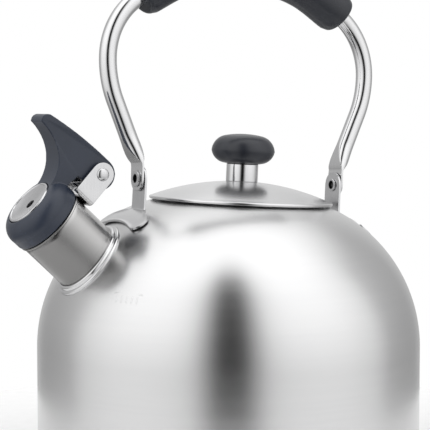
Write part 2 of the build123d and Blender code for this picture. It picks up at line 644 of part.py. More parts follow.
KNOB_NECK_R = 10.5
KNOB_WAIST = 7.4                            # height of the knob's widest line above its foot
SCREW_TOP = stem_top + 10.0
knob_low = stem_top + WELD_GAP
knob_top = stem_top + KNOB_H
with BuildPart() as knob:
    with BuildSketch(LID_SECTION):
        with BuildLine():
            Line((0, knob_low), (KNOB_NECK_R, knob_low))
            belly = ThreePointArc(
                (KNOB_NECK_R, knob_low), (KNOB_R - 2.2, knob_low + 2.9), (KNOB_R, stem_top + KNOB_WAIST)
            )
            crown = ThreePointArc(belly @ 1, (KNOB_R - 3.1, knob_top - 3.4), (KNOB_R - 8.5, knob_top - 0.9))
            Spline(crown @ 1, (0, knob_top), tangents=(crown % 1, (-1, 0)))
            Line((0, knob_top), (0, knob_low))
        make_face()
    revolve(axis=LID_AXIS)
    with BuildSketch(LID.offset(stem_top - 1)):
        Circle(SCREW_R + WELD_GAP)
    extrude(amount=SCREW_TOP - stem_top + 1 + WELD_GAP, mode=Mode.SUBTRACT)
knob.part.label = "knob"
export_step(knob.part, "parts/knob.step")

WASHER_OUT_R, WASHER_H = 6.0, 1.0
HEAD_OUT_R, HEAD_DEPTH = 4.4, 2.4
washer_top = lid_height(WASHER_OUT_R, SHEET) - WELD_GAP
with BuildPart() as knob_washer:
    with BuildSketch(LID.offset(washer_top - WASHER_H)):
        Circle(WASHER_OUT_R)
        Circle(SCREW_R + WELD_GAP, mode=Mode.SUBTRACT)
    extrude(amount=WASHER_H)
knob_washer.part.label = "knob_washer"
export_step(knob_washer.part, "parts/knob_washer.step")

head_top = washer_top - WASHER_H - WELD_GAP
with BuildPart() as knob_screw:
    with BuildSketch(LID.offset(head_top - HEAD_DEPTH)):
        Circle(HEAD_OUT_R)
    extrude(amount=HEAD_DEPTH)
    fillet(knob_screw.edges().group_by(LID_AXIS)[0], 0.8)
    with BuildSketch(LID.offset(head_top)):
        Circle(SCREW_R)
    extrude(amount=SCREW_TOP - head_top)
    with BuildSketch(LID.offset(head_top - HEAD_DEPTH)):
        Rectangle(2 * HEAD_OUT_R, 1.0)
        Rectangle(1.0, 2 * HEAD_OUT_R)
        Circle(HEAD_OUT_R * 0.62, mode=Mode.INTERSECT)
    extrude(amount=HEAD_DEPTH * 0.6, mode=Mode.SUBTRACT)
knob_screw.part.label = "knob_screw"
export_step(knob_screw.part, "parts/knob_screw.step")
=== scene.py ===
"""Looks of the stovetop whistling kettle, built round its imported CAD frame.

Shapes are given in millimetres in the frame of the piece they belong to, and become metres in add_mesh.
"""
from math import acos, asin, atan2, cos, hypot, pi, radians, sin, sqrt, tan

import bmesh
import bpy
from mathutils import Matrix, Vector


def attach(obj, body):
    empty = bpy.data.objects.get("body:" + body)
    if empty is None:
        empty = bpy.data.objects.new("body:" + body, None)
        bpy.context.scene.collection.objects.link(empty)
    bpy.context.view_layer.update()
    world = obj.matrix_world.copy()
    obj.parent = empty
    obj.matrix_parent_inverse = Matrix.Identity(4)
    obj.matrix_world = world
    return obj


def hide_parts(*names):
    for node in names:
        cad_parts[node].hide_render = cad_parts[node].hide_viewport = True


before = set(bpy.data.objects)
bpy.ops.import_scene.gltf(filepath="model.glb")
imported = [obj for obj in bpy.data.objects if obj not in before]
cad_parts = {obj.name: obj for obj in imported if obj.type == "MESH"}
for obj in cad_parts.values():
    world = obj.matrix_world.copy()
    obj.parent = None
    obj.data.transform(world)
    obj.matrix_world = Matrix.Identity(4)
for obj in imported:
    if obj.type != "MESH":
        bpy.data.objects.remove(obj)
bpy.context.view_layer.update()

MM = 0.001
TURN = 2 * pi

# ---------------------------------------------------------------- dimensions shared with the CAD, in mm
SHEET = 0.8
BODY_R, SEAM_Z = 110.0, 12.0
SHOULDER_X, SHOULDER_Z, SHOULDER_R = 24.0, 66.0, 86.0
LID_PLACE, LID_TILT = (8.2, 0.0, 147.8), radians(3.1)
HANDLE_PLACE, HANDLE_SWING = (7.8, 0.0, 159.5), radians(3.5)
MOUTH_PLACE, SPOUT_RISE = (-112.5, 0.0, 141.6), radians(43.0)
SPOUT_R = 19.8
NECK_R = 47.02
TILT_X = Vector((cos(LID_TILT), 0, -sin(LID_TILT)))
TILT_Z = Vector((sin(LID_TILT), 0, cos(LID_TILT)))
SPOUT_OUT = Vector((-cos(SPOUT_RISE), 0, sin(SPOUT_RISE)))
SPOUT_UP = Vector((sin(SPOUT_RISE), 0, cos(SPOUT_RISE)))


def axes(origin, x_dir, z_dir):
    """Placement with its origin in mm and its x and z along the given directions."""
    x, z = Vector(x_dir).normalized(), Vector(z_dir).normalized()
    place = Matrix((x, z.cross(x), z)).transposed().to_4x4()
    place.translation = Vector(origin) * MM
    return place


WORLD = Matrix.Identity(4)
LID = axes(LID_PLACE, TILT_X, TILT_Z)
HANDLE = axes(HANDLE_PLACE, TILT_X, TILT_Z)
SWUNG = HANDLE @ Matrix.Rotation(-HANDLE_SWING, 4, "X")     # the handle rests swung back to +Y
MOUTH = axes(MOUTH_PLACE, SPOUT_UP, SPOUT_OUT)      # x is up across the spout, z runs out along it


def to_world(place, point):
    """A point of a placement, in mm, in the row frame, still in mm."""
    return (place @ (Vector(point) * MM)) / MM


# ---------------------------------------------------------------- shape helpers
def arc_points(centre, radius, start, end, steps):
    """Points on an arc between two angles in degrees."""
    turns = [radians(start + (end - start) * k / steps) for k in range(steps + 1)]
    return [(centre[0] + radius * cos(t), centre[1] + radius * sin(t)) for t in turns]


def arc_through(first, middle, last, steps):
    """Points on the arc through three points."""
    (ax, ay), (bx, by), (cx, cy) = first, middle, last
    d = 2 * (ax * (by - cy) + bx * (cy - ay) + cx * (ay - by))
    a2, b2, c2 = ax * ax + ay * ay, bx * bx + by * by, cx * cx + cy * cy
    ux = (a2 * (by - cy) + b2 * (cy - ay) + c2 * (ay - by)) / d
    uy = (a2 * (cx - bx) + b2 * (ax - cx) + c2 * (bx - ax)) / d
    start, mid, end = (atan2(y - uy, x - ux) for x, y in (first, middle, last))
    sweep = (end - start) % TURN
    if (mid - start) % TURN > sweep:
        sweep -= TURN
    radius = hypot(ax - ux, ay - uy)
    turns = [start + sweep * k / steps for k in range(steps + 1)]
    return [(ux + radius * cos(t), uy + radius * sin(t)) for t in turns]


def rounded(corners, steps=5, closed=True):
    """Outline whose corners (x, y, radius) are rounded off."""
    outline = []
    for k, (x, y, radius) in enumerate(corners):
        here = Vector((x, y))
        if radius == 0 or (not closed and k in (0, len(corners) - 1)):
            outline.append((x, y))
            continue
        back = (Vector(corners[k - 1][:2]) - here).normalized()
        ahead = (Vector(corners[(k + 1) % len(corners)][:2]) - here).normalized()
        half = back.angle(ahead) / 2
        centre = here + (back + ahead).normalized() * (radius / sin(half))
        from_c = here + back * (radius / tan(half)) - centre
        to_c = here + ahead * (radius / tan(half)) - centre
        start = atan2(from_c.y, from_c.x)
        sweep = (atan2(to_c.y, to_c.x) - start + pi) % TURN - pi
        for j in range(steps + 1):
            t = start + sweep * j / steps
            outline.append((centre.x + radius * cos(t), centre.y + radius * sin(t)))
    return outline


def skin(rows, loop=False):
    """Points and faces between rings of points; loop joins the last ring to the first."""
    count, size = len(rows), len(rows[0])
    faces = []
    for k in range(count if loop else count - 1):
        a, b = k * size, (k + 1) % count * size
        faces += [(a + i, a + (i + 1) % size, b + (i + 1) % size, b + i) for i in range(size)]
    return [p for row in rows for p in row], faces


def patch(rows):
    """Points and faces of an open sheet of points."""
    size = len(rows[0])
    faces = []
    for k in range(len(rows) - 1):
        a, b = k * size, (k + 1) * size
        faces += [(a + i, a + i + 1, b + i + 1, b + i) for i in range(size - 1)]
    return [p for row in rows for p in row], faces


def ring(radius, z, segments):
    """Circle of points round z."""
    turns = [TURN * k / segments for k in range(segments)]
    return [(radius * cos(t), radius * sin(t), z) for t in turns]


def turned(profile, segments=160, loop=True):
    """Shape turned about z from a profile of (radius, height)."""
    return skin([ring(r, z, segments) for r, z in profile], loop)


def drill(name, radius, reach, place, segments=48):
    """Round bar along a placement's z, reach to each side, for cutting a hole."""
    outline = [(0, -reach), (radius, -reach), (radius, reach), (0, reach)]
    return add_mesh(name, turned(outline, segments, loop=False), place)


def prism(outline, half_width):
    """Solid between two copies of an outline in x and z, half_width(x) to each side in y."""
    size = len(outline)
    near = [(x, -half_width(x), z) for x, z in outline]
    far = [(x, half_width(x), z) for x, z in outline]
    sides = [(k, (k + 1) % size, size + (k + 1) % size, size + k) for k in range(size)]
    return near + far, sides + [tuple(range(size)), tuple(range(size, 2 * size))]


def add_mesh(name, shape, place=WORLD, sharp=35.0, own_axes=False):
    """Mesh object from points in mm and faces, welded, facing outwards and smooth.

    own_axes keeps the object in its placement, for materials that follow its own z axis.
    """
    points, faces = shape
    mesh = bpy.data.meshes.new(name)
    mesh.from_pydata([Vector(p) * MM for p in points], [], faces)
    work = bmesh.new()
    work.from_mesh(mesh)
    bmesh.ops.remove_doubles(work, verts=work.verts, dist=2e-6)
    bmesh.ops.recalc_face_normals(work, faces=work.faces)
    work.to_mesh(mesh)
    work.free()
    mesh.shade_smooth()
    mesh.set_sharp_from_angle(angle=radians(sharp))
    piece = bpy.data.objects.new(name, mesh)
    bpy.context.scene.collection.objects.link(piece)
    if own_axes:
        piece.matrix_world = place
    else:
        mesh.transform(place)
    return piece


def settle(piece, sharp=35.0):
    """Turns a piece's modifiers into mesh."""
    bpy.context.view_layer.update()
    graph = bpy.context.evaluated_depsgraph_get()
    mesh = bpy.data.meshes.new_from_object(piece.evaluated_get(graph))
    piece.modifiers.clear()
    piece.data = mesh
    mesh.shade_smooth()
    mesh.set_sharp_from_angle(angle=radians(sharp))


def combine(piece, operation, *others, sharp=35.0):
    """Boolean of a piece with helper objects, which are then removed."""
    for other in others:
        step = piece.modifiers.new("cut", "BOOLEAN")
        step.operation, step.solver, step.object = operation, "EXACT", other
    settle(piece, sharp)
    for other in others:
        bpy.data.objects.remove(other)


def finish_piece(piece, body, slot, material, *nodes):
    """Gives a piece its material, its body and the CAD nodes that it stands for, which it hides; slot is not
    used.
    """
    piece.data.materials.clear()
    piece.data.materials.append(material)
    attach(piece, body)
    if nodes:
        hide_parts(*nodes)
    return piece


def smooth_step(t):
    """Eases from 0 to 1 while t goes from 0 to 1."""
    t = min(1.0, max(0.0, t))
    return t * t * (3 - 2 * t)


def dome_gap(point):
    """Distance of a point outside the kettle's outer skin, in mm."""
    r, z = hypot(point[0], point[1]), point[2]
    if z < SHOULDER_Z:
        return r - BODY_R
    if r < SHOULDER_X:
        return z - SHOULDER_Z - SHOULDER_R
    return hypot(r - SHOULDER_X, z - SHOULDER_Z) - SHOULDER_R


def dome_height(x, y, gap=0.0):
    """Height of the dome over a point of the plan, gap above its skin."""
    r = hypot(x, y)
    if r < SHOULDER_X:
        return SHOULDER_Z + SHOULDER_R + gap
    return SHOULDER_Z + sqrt((SHOULDER_R + gap) ** 2 - (r - SHOULDER_X) ** 2)


def reach_dome(place, x, y, low, high, gap):
    """z in a placement where the line at (x, y) is gap outside the dome, between low and high."""
    for _ in range(40):
        middle = (low + high) / 2
        if dome_gap(to_world(place, (x, y, middle))) > gap:
            high = middle
        else:
            low = middle
    return high


# ---------------------------------------------------------------- materials
def node(tree, kind, links=None, **settings):
    """New shader node; links gives its inputs as numbers or as the sockets that feed them."""
    made = tree.nodes.new(kind)
    for key, value in settings.items():
        setattr(made, key, value)
    for key, value in (links or {}).items():
        if isinstance(value, bpy.types.NodeSocket):
            tree.links.new(value, made.inputs[key])
        else:
            made.inputs[key].default_value = value
    return made


def ramp(tree, factor, stops):
    """Colour ramp through (place, grey or colour) stops."""
    made = node(tree, "ShaderNodeValToRGB", {"Fac": factor})
    elements = made.color_ramp.elements
    while len(elements) < len(stops):
        elements.new(0.5)
    for element, (place, colour) in zip(elements, stops):
        element.position = place
        element.color = (*colour, 1) if isinstance(colour, tuple) else (colour, colour, colour, 1)
    return made.outputs["Color"]


def spread(tree, factor, low, high):
    """Number between low and high as factor goes over the middle of its range."""
    made = node(tree, "ShaderNodeMapRange", {"Value": factor, "From Min": 0.3, "From Max": 0.7,
                                             "To Min": low, "To Max": high})
    return made.outputs["Result"]


def noise(tree, vector, scale, detail=3.0, roughness=0.55):
    made = node(tree, "ShaderNodeTexNoise",
                {"Vector": vector, "Scale": scale, "Detail": detail, "Roughness": roughness})
    return made.outputs["Fac"]


def scaled(tree, vector, scale):
    return node(tree, "ShaderNodeVectorMath", {0: vector, 1: scale}, operation="MULTIPLY").outputs["Vector"]


def material(name, **sockets):
    """New material, its tree, its Principled shader and its object coordinates."""
    made = bpy.data.materials.new(name)
    made.use_nodes = True
    tree = made.node_tree
    shader = tree.nodes["Principled BSDF"]
    for key, value in sockets.items():
        shader.inputs[key.replace("_", " ")].default_value = value
    place = tree.nodes.new("ShaderNodeTexCoord").outputs["Object"]
    return made, tree, shader, place


def bump(tree, shader, height, strength, distance):
    made = node(tree, "ShaderNodeBump", {"Height": height, "Strength": strength, "Distance": distance})
    tree.links.new(made.outputs["Normal"], shader.inputs["Normal"])


def turned_steel(name, dark, light, rough, grain, lengthwise=14.0, anisotropy=0.5, depth=0.00001):
    """Steel brushed round its own z axis: fine rings of grain, with highlights drawn out across them."""
    made, tree, shader, place = material(name, Metallic=1.0, Anisotropic=anisotropy,
                                         Anisotropic_Rotation=0.25)
    parts = node(tree, "ShaderNodeSeparateXYZ", {"Vector": place}).outputs
    flat = scaled(tree, place, (1, 1, 0))
    radius = node(tree, "ShaderNodeVectorMath", {0: flat}, operation="LENGTH").outputs["Value"]
    along = node(tree, "ShaderNodeMath", {0: parts["Z"], 1: radius}, operation="SUBTRACT").outputs["Value"]
    streak = node(tree, "ShaderNodeCombineXYZ", {
        "X": parts["X"], "Y": parts["Y"],
        "Z": node(tree, "ShaderNodeMath", {0: along, 1: grain}, operation="MULTIPLY").outputs["Value"],
    }).outputs["Vector"]
    fine = noise(tree, streak, lengthwise, 4.0, 0.7)
    broad = noise(tree, scaled(tree, streak, (0.4, 0.4, 0.12)), lengthwise, 2.0)
    soft = noise(tree, place, 18.0, 2.0)
    both = node(tree, "ShaderNodeMix", {"Factor": 0.35, "A": fine, "B": broad}).outputs["Result"]
    tone = node(tree, "ShaderNodeMix", {"Factor": 0.25, "A": both, "B": soft}).outputs["Result"]
    tree.links.new(ramp(tree, tone, [(0.3, dark), (0.7, light)]), shader.inputs["Base Color"])
    tree.links.new(spread(tree, both, rough[0], rough[1]), shader.inputs["Roughness"])
    tangent = node(tree, "ShaderNodeTangent", direction_type="RADIAL", axis="Z")
    tree.links.new(tangent.outputs["Tangent"], shader.inputs["Tangent"])
    bump(tree, shader, fine, 0.05, depth)
    return made


def paint_shade(made, low, high, shade, axis=None):
    """Paints shade into a steel's colour: darkens it from low to high, in metres, along one of its own axes
    or out from its z axis.
    """
    tree = made.node_tree
    shader = tree.nodes["Principled BSDF"]
    place = tree.nodes.new("ShaderNodeTexCoord").outputs["Object"]
    if axis:
        reach = node(tree, "ShaderNodeSeparateXYZ", {"Vector": place}).outputs[axis]
    else:
        flat = scaled(tree, place, (1, 1, 0))
        reach = node(tree, "ShaderNodeVectorMath", {0: flat}, operation="LENGTH").outputs["Value"]
    unshaded_share = node(tree, "ShaderNodeMapRange", {"Value": reach, "From Min": low, "From Max": high,
                                              "To Min": shade, "To Max": 1.0},
                 interpolation_type="SMOOTHSTEP").outputs["Result"]
    colour = shader.inputs["Base Color"].links[0].from_socket
    dimmed = node(tree, "ShaderNodeVectorMath", {0: colour, 1: unshaded_share}, operation="MULTIPLY").outputs["Vector"]
    tree.links.new(dimmed, shader.inputs["Base Color"])
    return made


def sheet_steel(name, dark, light, rough, stretch, depth=0.00002):
    """Stamped steel sheet with a straight satin grain, finest along the small numbers of stretch."""
    made, tree, shader, place = material(name, Metallic=1.0)
    grain = noise(tree, scaled(tree, place, stretch), 1.0, 4.0, 0.65)
    soft = noise(tree, place, 60.0, 3.0)
    tone = node(tree, "ShaderNodeMix", {"Factor": 0.4, "A": grain, "B": soft}).outputs["Result"]
    tree.links.new(ramp(tree, tone, [(0.3, dark), (0.7, light)]), shader.inputs["Base Color"])
    tree.links.new(spread(tree, tone, rough[0], rough[1]), shader.inputs["Roughness"])
    bump(tree, shader, grain, 0.3, depth)
    return made


def moulded_plastic(name, dark, light, rough, grain=1400.0, depth=0.00004):
    """Dark moulded plastic: a fine spark-eroded grain, slow tone changes and paler worn edges."""
    made, tree, shader, place = material(name, Specular_IOR_Level=0.5)
    pebble = noise(tree, place, grain, 2.0, 0.5)
    soft = noise(tree, place, 45.0, 3.0)
    edge = node(tree, "ShaderNodeNewGeometry").outputs["Pointiness"]
    worn = node(tree, "ShaderNodeMapRange", {"Value": edge, "From Min": 0.52, "From Max": 0.62,
                                             "To Min": 0.0, "To Max": 0.35}).outputs["Result"]
    base = ramp(tree, soft, [(0.3, dark), (0.7, light)])
    pale = tuple(min(1.0, c * 1.9) for c in light)
    colour = node(tree, "ShaderNodeMix", {"Factor": worn}, data_type="RGBA")
    tree.links.new(base, colour.inputs["A"])
    colour.inputs["B"].default_value = (*pale, 1)
    tree.links.new(colour.outputs["Result"], shader.inputs["Base Color"])
    tree.links.new(spread(tree, soft, rough[0], rough[1]), shader.inputs["Roughness"])
    bump(tree, shader, pebble, 0.25, depth)
    return made


BODY_STEEL = turned_steel("body_steel", (0.600, 0.600, 0.605), (0.640, 0.640, 0.64), (0.24, 0.27), 260.0)
LID_STEEL = turned_steel("lid_steel", (0.60, 0.60, 0.605), (0.645, 0.645, 0.65), (0.23, 0.26), 110.0)
SPOUT_STEEL = turned_steel("spout_steel", (0.585, 0.58, 0.575), (0.635, 0.63, 0.625), (0.23, 0.27), 120.0)
# Painted in, for the dark surroundings that the spout's lower side would mirror outside this studio.
paint_shade(SPOUT_STEEL, -0.006, 0.019, 0.40, "X")
BASE_STEEL = turned_steel("base_steel", (0.50, 0.50, 0.50), (0.60, 0.60, 0.60), (0.26, 0.36), 60.0)
ALUMINIUM = turned_steel("core_aluminium", (0.62, 0.62, 0.63), (0.72, 0.72, 0.73), (0.4, 0.5), 40.0,
                         anisotropy=0.3)
SATIN_STEEL = sheet_steel("satin_steel", (0.54, 0.54, 0.55), (0.64, 0.64, 0.645), (0.17, 0.25),
                          (1500.0, 1500.0, 60.0))
WHISTLE_STEEL = turned_steel("whistle_steel", (0.56, 0.56, 0.57), (0.66, 0.66, 0.67), (0.16, 0.24), 110.0,
                             anisotropy=0.3)
POLISHED_STEEL = sheet_steel("polished_steel", (0.62, 0.62, 0.63), (0.67, 0.67, 0.67), (0.12, 0.15),
                             (500.0, 500.0, 40.0), depth=0.0000005)
HARDWARE_STEEL = sheet_steel("hardware_steel", (0.52, 0.52, 0.53), (0.64, 0.64, 0.645), (0.18, 0.26),
                             (900.0, 900.0, 900.0), depth=0.00001)
RIVET_STEEL = sheet_steel("rivet_steel", (0.52, 0.52, 0.53), (0.64, 0.64, 0.645), (0.18, 0.26),
                          (900.0, 900.0, 900.0), depth=0.00001)
paint_shade(RIVET_STEEL, 0.0022, 0.0029, 0.03)        # painted in, for the shade inside the rivet's bore
DARK_PLASTIC = moulded_plastic("dark_plastic", (0.013, 0.015, 0.022), (0.019, 0.022, 0.031), (0.30, 0.38))
LEVER_PLASTIC = moulded_plastic("lever_plastic", (0.016, 0.023, 0.040), (0.023, 0.031, 0.052), (0.34, 0.42))

# ---------------------------------------------------------------- kettle body
WALL_ROWS, DOME_ROWS, NECK_ROWS = 8, 44, 8
BODY_SEGMENTS = 224
LAST_RING_R = 66.0          # above this ring the rows of the dome lean over to meet the tilted neck


def body_rows(depth):
    """Rings of the body's skin, depth inside its outer face, from the lower edge to the neck."""
    radius = SHOULDER_R - depth
    rows = []
    for k in range(WALL_ROWS):
        z = SEAM_Z + (SHOULDER_Z - SEAM_Z) * k / WALL_ROWS
        rows.append(ring(SHOULDER_X + radius, z, BODY_SEGMENTS))
    last = acos((LAST_RING_R - SHOULDER_X) / radius)
    for k in range(DOME_ROWS + 1):
        t = last * k / DOME_ROWS
        rows.append(ring(SHOULDER_X + radius * cos(t), SHOULDER_Z + radius * sin(t), BODY_SEGMENTS))
    neck = []
    for x, y, _ in ring(NECK_R, 0, BODY_SEGMENTS):
        neck.append(to_world(LID, (x, y, reach_dome(LID, x, y, -40, 20, -depth))))
    for k in range(1, NECK_ROWS + 1):
        share = k / NECK_ROWS
        row = []
        for outer, inner in zip(rows[WALL_ROWS + DOME_ROWS], neck):
            x, y = (outer[j] + (inner[j] - outer[j]) * share for j in (0, 1))
            row.append((x, y, dome_height(x, y, -depth)))
        rows.append(row)
    return rows


body_shell = add_mesh("body_shell_skin", skin(body_rows(0.0) + body_rows(SHEET)[::-1], loop=True))
spout_hole = add_mesh("spout_hole", turned([(0, -44), (17.5, -44), (17.5, 0), (0, 0)], 96, loop=False), MOUTH)
combine(body_shell, "DIFFERENCE", spout_hole)
finish_piece(body_shell, "kettle", "brushed_steel", BODY_STEEL, "body_shell")

PAN_R, PAN_Z, PAN_TOP = 109.18, 5, 24
pan_outline = rounded([(0, PAN_Z, 0), (PAN_R, PAN_Z, 9), (PAN_R, PAN_TOP, 0), (PAN_R - SHEET, PAN_TOP, 0),
                       (PAN_R - SHEET, PAN_Z + SHEET, 8.2), (0, PAN_Z + SHEET, 0)], 10)
base_pan = add_mesh("base_pan_skin", turned(pan_outline, 192, loop=False))
finish_piece(base_pan, "kettle", "brushed_steel", BODY_STEEL, "base_pan")

CAP_R, CAP_TOP = 92, 4.98
base_outline = rounded([(0, 0, 0), (CAP_R, 0, 1.2), (CAP_R, CAP_TOP, 0.25), (CAP_R - SHEET, CAP_TOP, 0.25),
                        (CAP_R - SHEET, SHEET, 0.6), (0, SHEET, 0)], 6)
base_cap = add_mesh("base_cap_skin", turned(base_outline, 192, loop=False))
finish_piece(base_cap, "kettle", "base_steel", BASE_STEEL, "base_cap")

# A raised fill line, plain strokes that stand for the words stamped there on such kettles.
MARK_HEIGHT, MARK_HALF_W = 0.22, 0.45
MARK_AZIMUTH, MARK_Z = radians(-151.4), 105.6


def mark_point(across, down, height):
    """Point of the fill mark, in mm across and down from its top middle, on the dome."""
    lift = asin((MARK_Z - SHOULDER_Z) / SHOULDER_R) - down / SHOULDER_R
    r = SHOULDER_X + (SHOULDER_R + height) * cos(lift)
    turn = MARK_AZIMUTH + across / 101.0
    return (r * cos(turn), r * sin(turn), SHOULDER_Z + (SHOULDER_R + height) * sin(lift))


def stroke(start, end):
    """Raised stroke with sloping sides and round ends, between two points of the mark."""
    a, b = Vector(start), Vector(end)
    heading = atan2(b.y - a.y, b.x - a.x)
    rows = []
    for half, height in ((MARK_HALF_W, -0.1), (MARK_HALF_W * 0.9, 0.06),
                         (MARK_HALF_W * 0.6, MARK_HEIGHT * 0.9), (MARK_HALF_W * 0.3, MARK_HEIGHT)):
        row = []
        for centre, base in ((b, -pi / 2), (a, pi / 2)):
            for k in range(7):
                t = heading + base + pi * k / 6
                row.append(mark_point(centre.x + half * cos(t), centre.y + half * sin(t), height))
        rows.append(row)
    points, faces = skin(rows)
    faces.append(tuple(range(len(points) - len(rows[0]), len(points))))
    return points, faces


mark_points, mark_faces = [], []
for start, end in [((-8.6, 0), (8.6, 0))] + [((x, 1.6), (x, 4.6)) for x in (-6.4, -3.2, 0, 3.2, 6.4)]:
    points, faces = stroke(start, end)
    mark_faces += [tuple(i + len(mark_points) for i in face) for face in faces]
    mark_points += points
fill_mark = add_mesh("fill_mark", (mark_points, mark_faces))
finish_piece(fill_mark, "kettle", "brushed_steel", BODY_STEEL)

# ---------------------------------------------------------------- spout
SPOUT_SEGMENTS = 128
foot_outer, foot_inner = [], []
for x, y, _ in ring(SPOUT_R, 0, SPOUT_SEGMENTS):
    foot_outer.append((x, y, reach_dome(MOUTH, x, y, -44, 0, 0.03)))
for x, y, _ in ring(SPOUT_R - SHEET, 0, SPOUT_SEGMENTS):
    foot_inner.append((x, y, reach_dome(MOUTH, x, y, -44, 0, 0.03)))


def up_from(foot, z_top, steps):
    """Rings from the slanting foot of the spout up to z_top."""
    return [[(x, y, z + (z_top - z) * k / steps) for x, y, z in foot] for k in range(steps)]


lip = arc_points((SPOUT_R, -0.7), 0.7, -125, 180, 14)
spout_rows = up_from(foot_outer, -1.9, 14)
spout_rows += [ring(SPOUT_R, -1.9, SPOUT_SEGMENTS)] + [ring(r, z, SPOUT_SEGMENTS) for r, z in lip]
spout_rows += [ring(SPOUT_R - SHEET, -0.9, SPOUT_SEGMENTS)] + up_from(foot_inner, -0.9, 14)[::-1]
spout = add_mesh("spout_skin", skin(spout_rows, loop=True), MOUTH, own_axes=True)
finish_piece(spout, "kettle", "brushed_steel", SPOUT_STEEL, "spout_tube")

# Two rolled beads where the spout meets the dome: (distance from the spout's axis, height over the dome).
bead_outline = rounded([(19.83, 0.03, 0), (19.83, 3.0, 0.5), (21.6, 3.0, 0.85), (21.75, 1.42, 0.12),
                        (23.4, 1.5, 0.7), (23.4, 0.03, 0)], 7)
bead_rows = []
for radius, height in bead_outline:
    row = ring(radius, 0, SPOUT_SEGMENTS)
    bead_rows.append([(x, y, reach_dome(MOUTH, x, y, -44, 4, height)) for x, y, _ in row])
foot_beads = add_mesh("spout_foot_beads", skin(bead_rows, loop=True), MOUTH)
finish_piece(foot_beads, "kettle", "polished_steel", POLISHED_STEEL, "spout_foot_ring")

# ---------------------------------------------------------------- lid and knob
LID_RISE, LID_DOME_R, RIM_X, RIM_R = 12.2, 137.6, 52.0, 1.0


def lid_height(x, depth=0.0):
    return LID_RISE - LID_DOME_R + sqrt((LID_DOME_R - depth) ** 2 - x * x)


lid_top = [(x, lid_height(x)) for x in (2.6 + 48.6 * k / 26 for k in range(27))]
lid_low = [(x, lid_height(x, SHEET)) for x in (50.6 - 48.0 * k / 16 for k in range(17))]
lid_outline = lid_top + arc_points((RIM_X, RIM_R), RIM_R, 78, -190, 24) + lid_low
lid = add_mesh("lid_skin", turned(lid_outline, 192), LID, own_axes=True)
finish_piece(lid, "lid", "brushed_steel", LID_STEEL, "lid_plate")

stem_foot = lid_height(9.2) + 0.02
stem_outline = rounded([(2.6, stem_foot, 0), (9.2, stem_foot, 0.3), (9.2, 22.2, 0.5), (2.6, 22.2, 0)], 5)
stem = add_mesh("knob_stem_skin", turned(stem_outline, 96), LID)
finish_piece(stem, "lid", "polished_steel", POLISHED_STEEL, "knob_stem")

knob_outline = [(2.6, 22.24), (9.9, 22.24)] + arc_through((10.5, 22.4), (16.05, 25.12), (18.25, 29.6), 16)
knob_outline += arc_through((18.25, 29.6), (15.15, 36.0), (9.75, 38.5), 18)[1:]
knob_outline += [(9.75 * (1 - k / 10), 39.4 - 0.9 * (1 - k / 10) ** 2.2) for k in range(1, 11)]
knob_outline += [(0, 32.4), (2.6, 32.2)]
knob = add_mesh("knob_skin", turned(knob_outline, 128), LID)
finish_piece(knob, "lid", "dark_plastic", DARK_PLASTIC, "knob")

# ---------------------------------------------------------------- handle
LEG_X, FLAT_HALF, TUBE_R = 66.27, 7.0, 4.95
BEND_H, PRESS_RUN, LEG_LENGTH = 9.0, 18.0, 36.5
LEG_LEAN, HIP_R, SIDE_R, SIDE_TURN = 23.4, 60.0, 41.5, 54.5
PRESSED = 0.9926            # how far the jaws close on the tube's radius at its pressed ends
END_ROUND = 1.1             # the last stretch of the pressed end, where its edge is rounded


def run_arc(start, heading, radius, turn, steps):
    """Points and headings along an arc, turning left for a positive turn in degrees."""
    side = 1 if turn > 0 else -1
    h = radians(heading)
    centre = Vector((start.x - side * radius * sin(h), start.y + side * radius * cos(h)))
    found = []
    for k in range(1, steps + 1):
        t = radians(heading + turn * k / steps)
        found.append((centre + Vector((side * radius * sin(t), -side * radius * cos(t))), t))
    return found


BEND_R = 14.0
LEG_STEPS = 35
bend_cut = BEND_R * tan(radians(LEG_LEAN / 2))
lean_dir = Vector((sin(radians(LEG_LEAN)), cos(radians(LEG_LEAN))))
half_path = []
for z in (-7.0, -6.94, -6.75, -6.4, -5.9, -5.2, -4.3, -3.2, -2, -0.6, 1, 2.4, 3.8, 5.0, BEND_H - bend_cut):
    half_path.append((Vector((LEG_X, z)), pi / 2))
half_path += run_arc(Vector((LEG_X, BEND_H - bend_cut)), 90.0, BEND_R, -LEG_LEAN, 10)
bend = Vector((LEG_X, BEND_H))
for k in range(1, LEG_STEPS + 1):
    along = bend_cut + (LEG_LENGTH - bend_cut) * (k / LEG_STEPS)
    half_path.append((bend + lean_dir * along, radians(90 - LEG_LEAN)))
half_path += run_arc(bend + lean_dir * LEG_LENGTH, 90 - LEG_LEAN, HIP_R, LEG_LEAN, 14)
half_path += run_arc(half_path[-1][0], 90.0, SIDE_R, SIDE_TURN, 26)
side_top = half_path[-1][0]
TOP_R = side_top.x / cos(radians(SIDE_TURN))
half_path += run_arc(side_top, 90 + SIDE_TURN, TOP_R, 90 - SIDE_TURN, 24)
TOP_CENTRE = Vector((0, side_top.y - TOP_R * sin(radians(SIDE_TURN))))


